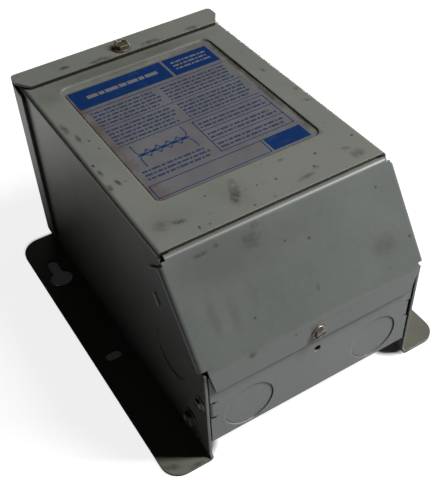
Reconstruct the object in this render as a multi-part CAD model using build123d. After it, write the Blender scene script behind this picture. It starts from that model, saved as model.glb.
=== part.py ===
from build123d import *
import math
import os

# A small dry-type transformer, lying on the two flanges that screw it to a wall.
# Millimetres, +Z up from the mounting plane, +X across, +Y from the wiring end to the far end.
# Places along Y are first counted from the near edge of the side walls, and the finished
# pieces are then moved so that the origin is the bottom centre of the whole.

# Sheet steel
sheet = 1.2
bend = 0.8
fit_gap = 0.2
overrun = 5.0

# Case: one sheet bent to a hat section, front panel upwards
case_width = 100.0
case_height = 93.0
case_length = 158.6
front_reveal = 1.7
flange_width = 18.8
flange_corner = 8.0
far_corner = 10.0
wall_notch = 1.2

# Recess pressed into the front panel, and the rating plate that lies in it
recess_width = 75.0
recess_near_margin = 23.1
recess_far_margin = 17.6
recess_depth = 0.7
recess_corner = 4.0
recess_draft = 30.0
plate_side_margin = 3.4
plate_near_margin = 2.8
plate_far_margin = 4.4
plate_thickness = 0.3
plate_corner = 1.5

# Holes in the mounting flanges
keyhole_round = 11.0
keyhole_neck = 5.0
keyhole_inset = 32.1
keyhole_reach = 11.3
slot_width = 5.0
slot_length = 7.5
slot_place = 69.0

# Slots lanced through the side walls, each with a lip pushed out along its lower edge
lance_along = 29.5
lance_inset = 16.2
lance_length = 5.4
lance_width = 4.4
lance_rise = 1.0

# Knockouts: the hole of a half-inch trade size
knockout_radius = 11.1
knockout_slit = 0.15
knockout_press = 0.4
knockout_tie = 2.6
side_knockout_place = 27.4
side_knockout_height = 40.0
bottom_knockout_inset = 19.5
bottom_knockout_height = 22.7

# Back tray: the back panel and the wall with the knockouts, one sheet bent to an L
back_height = 8.9
wall_setback = 1.6
wall_top_drop = 2.5
tab_low = 26.4
tab_high = 34.6
tab_length = 13.0
tab_crown = 3.2
tab_slit = 1.0
tab_slit_length = 2.6
wall_edge_gap = 0.5
ear_length = 11.0
ear_margin = 5.0
drain_radius = 1.6
drain_place = 1.2
drain_drop = 12.5

# Sloped cover of the wiring compartment
slope_angle = 54.0
slope_foot = 54.2
cover_side = 12.5
cover_lip = 11.7
cover_lip_mitre = 2.6
cover_tuck = 9.0
cover_tuck_inset = 2.6
cover_edge_gap = 0.5
cover_low_relief = 2.4
cover_top_relief = 2.8
cover_shoulder_gap = 1.2
cover_side_gap = 0.4
cover_screw_rise = 5.0
cover_screw_turn = 15.0

# Cap on the far end
cap_room = 1.6
cap_lip = 13.4
cap_lip_gap = 0.4
cap_lip_chamfer = 4.6
cap_lip_chamfer_length = 7.0
cap_side = 11.4
cap_side_drop = 3.6
cap_side_slant = 2.4
cap_foot = 4.4
cap_foot_corner = 5.0
cap_screw_inset = 8.2

# Sheet-metal screws with a hexagon head on a pressed washer: number 8, and number 4 at a share of it
washer_radius = 4.3
washer_thickness = 0.8
hexagon_flats = 6.35
hexagon_height = 1.8
hexagon_chamfer = 0.4
driver_slot_width = 1.2
driver_slot_depth = 1.0
shank_radius = 2.0
shank_length = 8.0
shank_tip = 2.0
shank_gap = 0.05
large_share = 1.0
small_share = 0.75
tab_screw_place = 5.4
tab_screw_height = 33.4
foot_screw_place = 13.9
foot_screw_height = 13.6

# Core and coil, cast into one block
core_room = 10.0
core_far_gap = 1.0

# Sizes that follow from the ones above
half_width = case_width / 2
inner_half = half_width - sheet
panel_half = inner_half - fit_gap
strip_half = inner_half - cover_edge_gap
front_under = case_height - sheet
flange_middle = half_width + flange_width / 2
slope = math.radians(slope_angle)
lip_face = wall_setback - fit_gap - sheet
lip_top = slope_foot + lip_face * math.tan(slope)
tuck_height = front_under - fit_gap
tuck_place = (tuck_height - slope_foot) / math.tan(slope)
slope_run = (tuck_height - lip_top) / math.sin(slope)
front_near = tuck_place + front_reveal
recess_near = front_near + recess_near_margin
recess_far = case_length - recess_far_margin
keyhole_place = case_length - keyhole_inset
bottom_knockout_place = half_width - bottom_knockout_inset
tab_middle = (tab_low + tab_high) / 2
ear_top = foot_screw_height + ear_margin
wall_height = lip_top - wall_top_drop
cover_screw_height = lip_top - cover_lip + cover_screw_rise
drain_height = cover_screw_height - drain_drop
cover_half = half_width + cover_side_gap + sheet
cap_far = case_length + cap_room + sheet
cap_half = half_width + fit_gap + sheet
cap_top = case_height + cap_lip_gap + sheet
cap_side_top = case_height - cap_side_drop
cap_screw_place = cap_far - cap_screw_inset
screw_head = washer_thickness + hexagon_height
near_most = lip_face - small_share * screw_head
centre_place = (near_most + cap_far) / 2
wall_face = Plane((0, wall_setback, 0), x_dir=(1, 0, 0), z_dir=(0, -1, 0))


def slope_point(along, inset):
    """A point in (Y, Z): along the outer face of the cover from its foot, and inset below that face."""
    place = along * math.cos(slope) + inset * math.sin(slope)
    height = slope_foot + along * math.sin(slope) - inset * math.cos(slope)
    return place, height


def section(*points):
    """Outline of a bent sheet. Its outer face follows the points, with the metal on the right."""
    radii = []
    for before, corner, after in zip(points, points[1:], points[2:]):
        arriving = Vector(*corner) - Vector(*before)
        leaving = Vector(*after) - Vector(*corner)
        turns_right = arriving.cross(leaving).Z < 0
        radii.append(bend + sheet if turns_right else bend)
    path = FilletPolyline(*points, radius=radii).wire()
    return make_face(path.offset_2d(sheet, side=Side.RIGHT))


def across(face, half):
    """A profile drawn in (Y, Z), extruded to both sides of the middle."""
    return extrude(Plane.YZ * face, amount=half, both=True)


def outline_across(points, half):
    return across(make_face(Polyline(*points, close=True)), half)


def both_sides(piece):
    return piece + mirror(piece, about=Plane.YZ)


def left_wall(place, height):
    """A plane that looks out of the left wall, with its local Y upwards."""
    return Plane((-half_width, place, height), x_dir=(0, -1, 0), z_dir=(-1, 0, 0))


def screw_hole(share):
    """The clearance hole of a screw at a share of the large one's size, along Z."""
    return Cylinder(share * shank_radius + shank_gap, 2 * overrun)


def keyhole():
    """A keyhole in the left flange, with its neck towards the far end."""
    neck_end = keyhole_place + keyhole_reach
    neck = make_face(Polyline(
        (-flange_middle - keyhole_neck / 2, keyhole_place),
        (-flange_middle + keyhole_neck / 2, keyhole_place),
        (-flange_middle + keyhole_neck / 2, neck_end),
        (-flange_middle - keyhole_neck / 2, neck_end),
        close=True,
    ))
    shape = Pos(-flange_middle, keyhole_place) * Circle(keyhole_round / 2) + neck
    shape += Pos(-flange_middle, neck_end) * Circle(keyhole_neck / 2)
    return extrude(shape, amount=overrun, both=True)


def flange_slot():
    shape = Pos(-flange_middle, slot_place) * SlotOverall(slot_length, slot_width)
    return extrude(shape, amount=overrun, both=True)


def flange_corner_cut(place, radius, inward):
    """What a rounded corner leaves over, at the outer tip of the left flange."""
    tip = -half_width - flange_width
    block = Pos(tip + radius / 2, place + inward * radius / 2) * Rectangle(radius, radius)
    block -= Pos(tip + radius, place + inward * radius) * Circle(radius)
    return extrude(block, amount=overrun, both=True)


def lance_plane():
    """A plane on the left wall at the middle of its slot, with local X up the slope and Z inwards."""
    place, height = slope_point(lance_along, lance_inset)
    up_slope = (0, math.cos(slope), math.sin(slope))
    return Plane((-half_width, place, height), x_dir=up_slope, z_dir=(1, 0, 0))


def lance():
    """A rectangular slot in the left wall, square to the slope."""
    return lance_plane() * Box(lance_length, lance_width, 2 * overrun)


def lance_lip():
    """What the lance pushes out of the left wall, along the lower edge of the slot."""
    lip = Box(lance_length, sheet, lance_rise + sheet, align=(Align.CENTER, Align.MAX, Align.MIN))
    return lance_plane() * Pos(0, -lance_width / 2, -lance_rise) * lip


def recess(width, length, corner, top):
    middle = (recess_near + recess_far) / 2
    outline = Pos(0, middle, top) * RectangleRounded(width, length, corner)
    return extrude(outline, amount=-recess_depth, taper=recess_draft)


def case_wrap():
    """Front panel, side walls and mounting flanges, bent from one sheet."""
    tip = half_width + flange_width
    hat = section(
        (-tip, sheet),
        (-half_width, sheet),
        (-half_width, case_height),
        (half_width, case_height),
        (half_width, sheet),
        (tip, sheet),
    )
    case = extrude(Plane.XZ * hat, amount=-case_length)
    seat = sheet + bend
    seat_top = slope_foot - seat / math.cos(slope) + front_near * math.tan(slope)
    above_slope = [
        (-overrun, slope_foot),
        (seat / math.sin(slope), slope_foot),
        (front_near, seat_top),
        (front_near, case_height + overrun),
        (-overrun, case_height + overrun),
    ]
    case -= outline_across(above_slope, half_width + overrun)
    foot_bend = sheet + bend
    notch = [
        (0, foot_bend),
        (wall_notch, foot_bend + wall_notch),
        (wall_notch, slope_foot + overrun),
        (-overrun, slope_foot + overrun),
        (-overrun, foot_bend),
    ]
    case -= outline_across(notch, half_width + overrun)
    length = recess_far - recess_near
    case += recess(recess_width + 2 * sheet, length + 2 * sheet, recess_corner + sheet, front_under)
    case -= recess(recess_width, length, recess_corner, case_height)
    cuts = keyhole() + flange_slot() + lance()
    cuts += flange_corner_cut(0, flange_corner, 1)
    cuts += flange_corner_cut(case_length, far_corner, -1)
    cuts += left_wall(tab_screw_place, tab_screw_height) * screw_hole(small_share)
    cuts += left_wall(foot_screw_place, foot_screw_height) * screw_hole(large_share)
    cuts += left_wall(side_knockout_place, side_knockout_height) * Cylinder(knockout_radius, 2 * overrun)
    case -= both_sides(cuts)
    case += both_sides(lance_lip())
    case -= Pos(0, cap_screw_place, case_height) * screw_hole(large_share)
    return case


def side_tab():
    """The tab at the left edge of the knockout wall, bent in along the side wall."""
    bent = section(
        (-panel_half + overrun, wall_setback),
        (-panel_half, wall_setback),
        (-panel_half, wall_setback + tab_length),
    )
    tab = Pos(0, 0, tab_low) * extrude(bent, amount=tab_high - tab_low)
    base = (Align.MIN, Align.MIN, Align.MIN)
    crown = Box(sheet, tab_length - bend - sheet, tab_crown, align=base)
    tab += Pos(-panel_half, wall_setback + bend + sheet, tab_high) * crown
    return tab - left_wall(tab_screw_place, tab_screw_height) * screw_hole(small_share)


def foot_ear():
    """The ear at the left edge of the back panel, bent up along the side wall."""
    bent = section(
        (-panel_half + overrun, back_height),
        (-panel_half, back_height),
        (-panel_half, ear_top),
    )
    ear = Pos(0, foot_screw_place - ear_length / 2) * extrude(Plane.XZ * bent, amount=-ear_length)
    return ear - left_wall(foot_screw_place, foot_screw_height) * screw_hole(large_share)


def back_tray():
    """Back panel, bent up at the near end into the wall with the knockouts."""
    tray = across(section(
        (case_length - fit_gap, back_height),
        (wall_setback, back_height),
        (wall_setback, wall_height),
    ), panel_half)
    slit_depth = 2 * (bend + sheet)
    slit = Pos(-panel_half, wall_setback, tab_middle)
    slit *= Box(2 * tab_slit_length, slit_depth, tab_high - tab_low + 2 * tab_slit)
    tray -= both_sides(slit)
    edge_low = back_height + bend + sheet
    edge = Pos(-panel_half, wall_setback, (edge_low + wall_height) / 2)
    edge *= Box(2 * wall_edge_gap, slit_depth, wall_height - edge_low)
    tray -= both_sides(edge)
    tray += both_sides(side_tab() + foot_ear())
    knockout = Pos(-bottom_knockout_place, bottom_knockout_height) * Cylinder(knockout_radius, 2 * overrun)
    tray -= both_sides(wall_face * knockout)
    tray -= wall_face * Pos(drain_place, drain_height) * Cylinder(drain_radius, 2 * overrun)
    tray -= wall_face * Pos(0, cover_screw_height) * screw_hole(small_share)
    return tray


def knockout_disc():
    """A punched disc on two ties, pressed into its hole in a sheet that has its outer face at zero."""
    disc = Circle(knockout_radius - knockout_slit)
    disc += Rectangle(knockout_tie, 2 * knockout_radius) & Circle(knockout_radius)
    return Pos(0, 0, -knockout_press) * extrude(disc, amount=-sheet)


def wiring_cover():
    """Sloped cover, with side flanges over the walls, a tucked top edge and a screwed lip."""
    strip = across(section(
        (lip_face, lip_top - cover_lip),
        (lip_face, lip_top),
        (tuck_place, tuck_height),
        (tuck_place + cover_tuck, tuck_height),
    ), strip_half)
    tuck_align = (Align.CENTER, Align.MIN, Align.CENTER)
    tuck_end = Pos(strip_half, front_near - fit_gap, tuck_height)
    tuck_end *= Box(2 * cover_tuck_inset, 2 * cover_tuck, 2 * (sheet + bend), align=tuck_align)
    strip -= both_sides(tuck_end)
    mitre = make_face(Polyline(
        (strip_half, lip_top),
        (strip_half - cover_lip_mitre, lip_top - cover_lip),
        (strip_half - cover_lip_mitre, lip_top - cover_lip - overrun),
        (strip_half + overrun, lip_top - cover_lip - overrun),
        (strip_half + overrun, lip_top),
        close=True,
    ))
    strip -= both_sides(extrude(wall_face * mitre, amount=overrun, both=True))
    channel = section(
        (cover_half, cover_side),
        (cover_half, 0),
        (-cover_half, 0),
        (-cover_half, cover_side),
    )
    up_slope = (0, math.cos(slope), math.sin(slope))
    along = Plane((0, lip_face, lip_top), x_dir=(1, 0, 0), z_dir=up_slope)
    reach = slope_run - cover_low_relief - cover_top_relief
    cover = strip + along * Pos(0, 0, cover_low_relief) * extrude(channel, amount=reach)
    shoulder_align = (Align.CENTER, Align.MIN, Align.MIN)
    shoulder = Box(2 * half_width, sheet, cover_top_relief - cover_shoulder_gap, align=shoulder_align)
    cover += along * Pos(0, 0, cover_low_relief + reach) * shoulder
    cover -= wall_face * Pos(0, cover_screw_height) * screw_hole(small_share)
    return cover


def end_cap():
    """Tray over the far end, with a lip on the front panel and flanges on the side walls."""
    sides = section(
        (-cap_half, cap_far - cap_side),
        (-cap_half, cap_far),
        (cap_half, cap_far),
        (cap_half, cap_far - cap_side),
    )
    cap = Pos(0, 0, cap_foot) * extrude(sides, amount=cap_side_top + cap_side_slant - cap_foot)
    slant = [
        (cap_far - bend - sheet, cap_side_top + cap_side_slant),
        (cap_far - cap_side, cap_side_top),
        (cap_far - cap_side - overrun, cap_side_top),
        (cap_far - cap_side - overrun, cap_top),
        (cap_far - bend - sheet, cap_top),
    ]
    cap -= outline_across(slant, half_width + overrun)
    foot = Pos(cap_far - cap_foot_corner / 2, cap_foot + cap_foot_corner / 2)
    foot *= Rectangle(cap_foot_corner, cap_foot_corner)
    foot -= Pos(cap_far - cap_foot_corner, cap_foot + cap_foot_corner) * Circle(cap_foot_corner)
    cap -= across(foot, half_width + overrun)
    lip = across(section(
        (cap_far - cap_lip, cap_top),
        (cap_far, cap_top),
        (cap_far, cap_side_top),
    ), cap_half)
    lip_near = cap_far - cap_lip
    plan = make_face(Polyline(
        (-cap_half, cap_far),
        (cap_half, cap_far),
        (cap_half, lip_near + cap_lip_chamfer_length),
        (cap_half - cap_lip_chamfer, lip_near),
        (cap_lip_chamfer - cap_half, lip_near),
        (-cap_half, lip_near + cap_lip_chamfer_length),
        close=True,
    ))
    plan = fillet(plan.vertices().group_by(Axis.Y)[-1], bend + sheet)
    cap += lip & extrude(plan, amount=cap_top)
    cap -= Pos(0, cap_screw_place, cap_top) * screw_hole(large_share)
    return cap


def hexagon_screw(share, slotted):
    """A sheet-metal screw along +Z, seated at zero, at a share of the large one's size."""
    base = (Align.CENTER, Align.CENTER, Align.MIN)
    head = extrude(RegularPolygon(hexagon_flats / 2, side_count=6, major_radius=False), amount=screw_head)
    corner = hexagon_flats / math.sqrt(3)
    crown = Cylinder(corner, screw_head, align=base)
    rim = crown.edges().sort_by(Axis.Z)[-1:]
    head &= chamfer(rim, length=hexagon_chamfer, length2=2 * hexagon_chamfer)
    washer = Cylinder(washer_radius, washer_thickness, align=base)
    washer = chamfer(washer.edges().sort_by(Axis.Z)[-1:], length=washer_thickness / 2)
    screw = head + washer
    if slotted:
        slot = Box(2 * washer_radius, driver_slot_width, 2 * driver_slot_depth)
        screw -= Pos(0, 0, screw_head) * slot
    straight = shank_length - shank_tip
    screw += Pos(0, 0, -straight) * Cylinder(shank_radius, straight, align=base)
    screw += Pos(0, 0, -shank_length) * Cone(shank_radius / 2, shank_radius, shank_tip, align=base)
    return scale(screw, by=share)


def core_block():
    """Core and coil cast into one block that fills the case behind the wiring compartment."""
    near = tuck_place + cover_tuck + core_room
    far = cap_far - cap_lip - core_far_gap
    low = back_height + sheet + fit_gap
    high = front_under - recess_depth - fit_gap
    middle = Pos(0, (near + far) / 2, (low + high) / 2)
    return middle * Box(2 * panel_half, far - near, high - low)


def rating_plate():
    near = recess_near + plate_near_margin
    far = recess_far - plate_far_margin
    outline = RectangleRounded(recess_width - 2 * plate_side_margin, far - near, plate_corner)
    return Pos(0, (near + far) / 2, case_height - recess_depth) * extrude(outline, amount=plate_thickness)


pieces = {
    "case_wrap": case_wrap(),
    "back_tray": back_tray(),
    "wiring_cover": wiring_cover(),
    "end_cap": end_cap(),
    "core_block": core_block(),
    "rating_plate": rating_plate(),
}
pieces["end_cap_screw"] = Pos(0, cap_screw_place, cap_top) * hexagon_screw(large_share, False)
lip_plane = Plane((0, lip_face, cover_screw_height), x_dir=(1, 0, 0), z_dir=(0, -1, 0))
pieces["cover_screw"] = lip_plane * Rot(0, 0, cover_screw_turn) * hexagon_screw(small_share, True)
for side, flip in (("left", False), ("right", True)):
    bottom_place = wall_face * Pos(-bottom_knockout_place, bottom_knockout_height)
    tab_place = left_wall(tab_screw_place, tab_screw_height)
    foot_place = left_wall(foot_screw_place, foot_screw_height)
    side_place = left_wall(side_knockout_place, side_knockout_height)
    made = {
        f"{side}_tab_screw": tab_place * hexagon_screw(small_share, True),
        f"{side}_foot_screw": foot_place * hexagon_screw(large_share, False),
        f"{side}_side_knockout": side_place * knockout_disc(),
        f"{side}_bottom_knockout": bottom_place * knockout_disc(),
    }
    for name, piece in made.items():
        pieces[name] = mirror(piece, about=Plane.YZ) if flip else piece

os.makedirs("parts", exist_ok=True)
for name, piece in pieces.items():
    export_step(Pos(0, -centre_place) * piece, f"parts/{name}.step")
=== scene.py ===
"""Looks of a small dry-type transformer on a pale floor.

The sheet steel gets scuffed grey enamel, the rating plate a print, and the screws zinc plate.
"""

import math

import bmesh
import bpy
from bpy.props import FloatProperty, FloatVectorProperty, PointerProperty
from mathutils import Matrix, Vector


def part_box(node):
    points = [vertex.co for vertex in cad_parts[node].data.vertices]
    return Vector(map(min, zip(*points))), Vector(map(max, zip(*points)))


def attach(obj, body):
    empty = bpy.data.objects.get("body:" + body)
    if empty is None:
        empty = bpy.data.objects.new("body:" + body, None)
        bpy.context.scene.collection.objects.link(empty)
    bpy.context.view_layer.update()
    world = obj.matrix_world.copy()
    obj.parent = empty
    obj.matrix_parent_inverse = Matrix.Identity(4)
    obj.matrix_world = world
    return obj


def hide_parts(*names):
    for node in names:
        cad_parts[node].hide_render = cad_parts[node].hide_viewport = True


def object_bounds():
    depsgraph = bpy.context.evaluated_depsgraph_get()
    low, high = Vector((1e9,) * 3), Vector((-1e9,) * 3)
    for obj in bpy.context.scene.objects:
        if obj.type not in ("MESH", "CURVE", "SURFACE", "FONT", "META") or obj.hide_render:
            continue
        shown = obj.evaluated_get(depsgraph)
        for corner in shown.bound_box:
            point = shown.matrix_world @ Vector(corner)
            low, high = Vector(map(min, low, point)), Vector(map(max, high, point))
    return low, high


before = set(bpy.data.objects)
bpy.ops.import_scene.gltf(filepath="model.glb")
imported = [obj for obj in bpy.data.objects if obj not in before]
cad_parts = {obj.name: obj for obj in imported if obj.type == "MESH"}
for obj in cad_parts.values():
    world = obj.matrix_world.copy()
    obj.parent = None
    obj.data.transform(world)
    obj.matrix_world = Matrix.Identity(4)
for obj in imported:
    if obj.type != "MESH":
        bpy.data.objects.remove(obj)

bl_info = {
    "name": "Dry-type transformer looks",
    "version": (1, 0, 0),
    "blender": (4, 5, 0),
    "location": "View3D > Sidebar > Transformer",
    "description": "Finishes, printed plate, screws and studio for a dry-type transformer",
    "category": "Object",
}

CAD_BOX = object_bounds()
PLATE_LOW, PLATE_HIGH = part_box("rating_plate")
LIP_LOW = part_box("wiring_cover")[0].z
MM = 0.001
BODY = "root"

# The photograph's frame, in pixels, and the camera that was fitted to it
FRAME_WIDTH = 443
FRAME_HEIGHT = 480
FOCAL_PIXELS = 809.8
CENTRE_PIXEL = (195.2, 268.9)
SENSOR_WIDTH = 36.0

# How a Mix node blends colours
COLOUR_MIX = {"out": 2, "data_type": "RGBA"}


def linear(hex_colour):
    """An sRGB hex colour as linear red, green and blue."""
    parts = [int(hex_colour[i:i + 2], 16) / 255 for i in (1, 3, 5)]
    return tuple(c / 12.92 if c <= 0.04045 else ((c + 0.055) / 1.055) ** 2.4 for c in parts)


def per(size_mm):
    """The scale of a pattern in Object coordinates whose features are size_mm wide."""
    return 1 / (size_mm * MM)


def node(tree, kind, inputs=None, out=0, **settings):
    """Adds a shader node with its settings, sets or links its inputs, and returns one of its outputs.

    Inputs that share a name go by number. In Map Range, 1 and 2 are the ends of what comes in, and 3 and
    4 of what goes out. In Mix, 0 is the share of the second colour, and 6 and 7 are the colours.
    """
    made = tree.nodes.new("ShaderNode" + kind)
    for name, value in settings.items():
        setattr(made, name, value)
    for key, value in (inputs or {}).items():
        if isinstance(value, bpy.types.NodeSocket):
            tree.links.new(value, made.inputs[key])
        else:
            made.inputs[key].default_value = value
    return made.outputs[out] if len(made.outputs) else made


def colour(value):
    """A property's colour with the alpha that shader sockets take."""
    return (*value, 1.0)


def new_material(name):
    """An empty material and its node tree."""
    material = bpy.data.materials.new(name)
    material.use_nodes = True
    material.node_tree.nodes.clear()
    return material, material.node_tree


def finish_material(tree, shader):
    """Gives the finished shader to the material's output."""
    node(tree, "OutputMaterial", {"Surface": shader})


def dress(node_name, material):
    """Gives a CAD node its material."""
    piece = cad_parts[node_name]
    for held in piece.material_slots:
        held.material = material


def new_piece(name, shape, material):
    """Turns a finished bmesh into a piece that rides on the case."""
    bmesh.ops.recalc_face_normals(shape, faces=shape.faces)
    mesh = bpy.data.meshes.new(name)
    shape.to_mesh(mesh)
    shape.free()
    piece = bpy.data.objects.new(name, mesh)
    bpy.context.scene.collection.objects.link(piece)
    mesh.materials.append(material)
    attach(piece, BODY)
    return piece


# Patterns


def spot_mask(tree, place, spots):
    """Soft ellipses, one for each spot: centre and radii in mm, a turn in degrees, and a strength."""
    mask = None
    for centre, radii, turn, strength in spots:
        local = node(tree, "Mapping", {
            "Vector": place,
            "Location": [v * MM for v in centre],
            "Rotation": (0, 0, math.radians(turn)),
            "Scale": [v * MM for v in radii],
        }, vector_type="TEXTURE")
        away = node(tree, "VectorMath", {0: local}, out="Value", operation="LENGTH")
        soft = node(
            tree, "MapRange", {"Value": away, 1: 1.0, 2: 0.2, 4: strength}, interpolation_type="SMOOTHSTEP",
        )
        mask = soft if mask is None else node(tree, "Math", {0: mask, 1: soft}, operation="MAXIMUM")
    return mask


def speck_mask(tree, place, across, apart, kept_share):
    """Round specks at random: their size and spacing in mm, and the share of places that have one."""
    spread = {"Vector": place, "Scale": per(apart)}
    away = node(tree, "TexVoronoi", spread, out="Distance")
    chance = node(tree, "SeparateColor", {0: node(tree, "TexVoronoi", spread, out="Color")})
    radius = node(tree, "MapRange", {"Value": chance, 1: kept_share, 2: 0.0, 3: 0.0, 4: across / apart / 2})
    inside = node(tree, "Math", {0: radius, 1: away}, operation="SUBTRACT")
    return node(tree, "MapRange", {"Value": inside, 1: 0.0, 2: across / apart / 6})


def box_reach(tree, place, low, high, corner=0.0):
    """How far a point lies outside a box with rounded corners, in metres; below zero, it is inside."""
    half = (high - low) / 2 - Vector((corner, corner, corner))
    away = node(tree, "VectorMath", {0: place, 1: (low + high) / 2}, operation="SUBTRACT")
    away = node(tree, "VectorMath", {0: away}, operation="ABSOLUTE")
    away = node(tree, "VectorMath", {0: away, 1: half}, operation="SUBTRACT")
    beyond = node(tree, "VectorMath", {0: away, 1: (0, 0, 0)}, operation="MAXIMUM")
    outside = node(tree, "VectorMath", {0: beyond}, out="Value", operation="LENGTH")
    within = node(tree, "SeparateXYZ", {0: away}, out="X")
    for axis in "YZ":
        side = node(tree, "SeparateXYZ", {0: away}, out=axis)
        within = node(tree, "Math", {0: within, 1: side}, operation="MAXIMUM")
    within = node(tree, "Math", {0: within, 1: 0.0}, operation="MINIMUM")
    reach = node(tree, "Math", {0: outside, 1: within})
    return node(tree, "Math", {0: reach, 1: corner}, operation="SUBTRACT")


# The lit side of a knockout's rim, which is painted lighter as a highlight: left, and a little down
LIT_RIM_SIDE = (-0.9, 0, -0.45)


def lit_rim_mask(tree, place, lit_rims, radius, width):
    """Painted highlights on the lit side of the near wall's knockout rims: centres in mm and strengths,
    with a radius and a width.
    """
    mask = None
    for centre, strength in lit_rims:
        local = node(tree, "VectorMath", {0: place, 1: [v * MM for v in centre]}, operation="SUBTRACT")
        flat = node(tree, "VectorMath", {0: local, 1: (1, 0, 1)}, operation="MULTIPLY")
        away = node(tree, "VectorMath", {0: flat}, out="Value", operation="LENGTH")
        off = node(tree, "Math", {0: away, 1: radius * MM, 2: width * MM}, operation="COMPARE")
        turned = {0: local, 1: LIT_RIM_SIDE}
        lit_rim = node(tree, "VectorMath", turned, out="Value", operation="DOT_PRODUCT")
        lit_rim = node(tree, "MapRange", {"Value": lit_rim, 1: 0.0, 2: radius * MM, 3: 0.0, 4: strength})
        rim = node(tree, "Math", {0: off, 1: lit_rim}, operation="MULTIPLY")
        mask = rim if mask is None else node(tree, "Math", {0: mask, 1: rim}, operation="MAXIMUM")
    return mask


# Finishes

# Widths of the patterns in the enamel, and the depth of its waves, in mm
MOTTLE_WIDTH = 30
GRAIN_WIDTH = 2.6
STREAK_WIDTH = 11
CLOUD_WIDTH = 16
TEAR_WIDTH = 3.4
SCRATCH_WIDTH = 0.9
WEAR_WIDTH = 6
PEEL_WIDTH = 1.4
WAVE_WIDTH = 45
WAVE_DEPTH = 0.25
# Specks of dirt: size and spacing in mm, and the share of places that have one
SPECKS = (0.8, 2.2, 0.6)
BLOTS = (2.0, 7.0, 0.6)
# Where dirt begins and where it is full, in mm: silt by height, soil in the recess from its edge, from
# left to right and towards the far end; and how far ambient occlusion looks for the painted shade in
# corners
SILT_HEIGHTS = (7, 2)
RECESS_EDGE = (0.9, -0.7)
SOIL_ACROSS = (-10, 34)
SOIL_ALONG = (52, 60)
CORNER_SHADE_REACH = 3.0
# How scratches run: turned from the object's length by this angle, and this much thinner than long
SCRATCH_TURN = math.radians(28)
SCRATCH_SHARE = 0.05
# The soft edge of the painted highlight on a lanced lip, in mm
LANCE_HIGHLIGHT_EDGE = 0.1
ENAMEL_IOR = 1.5


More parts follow.
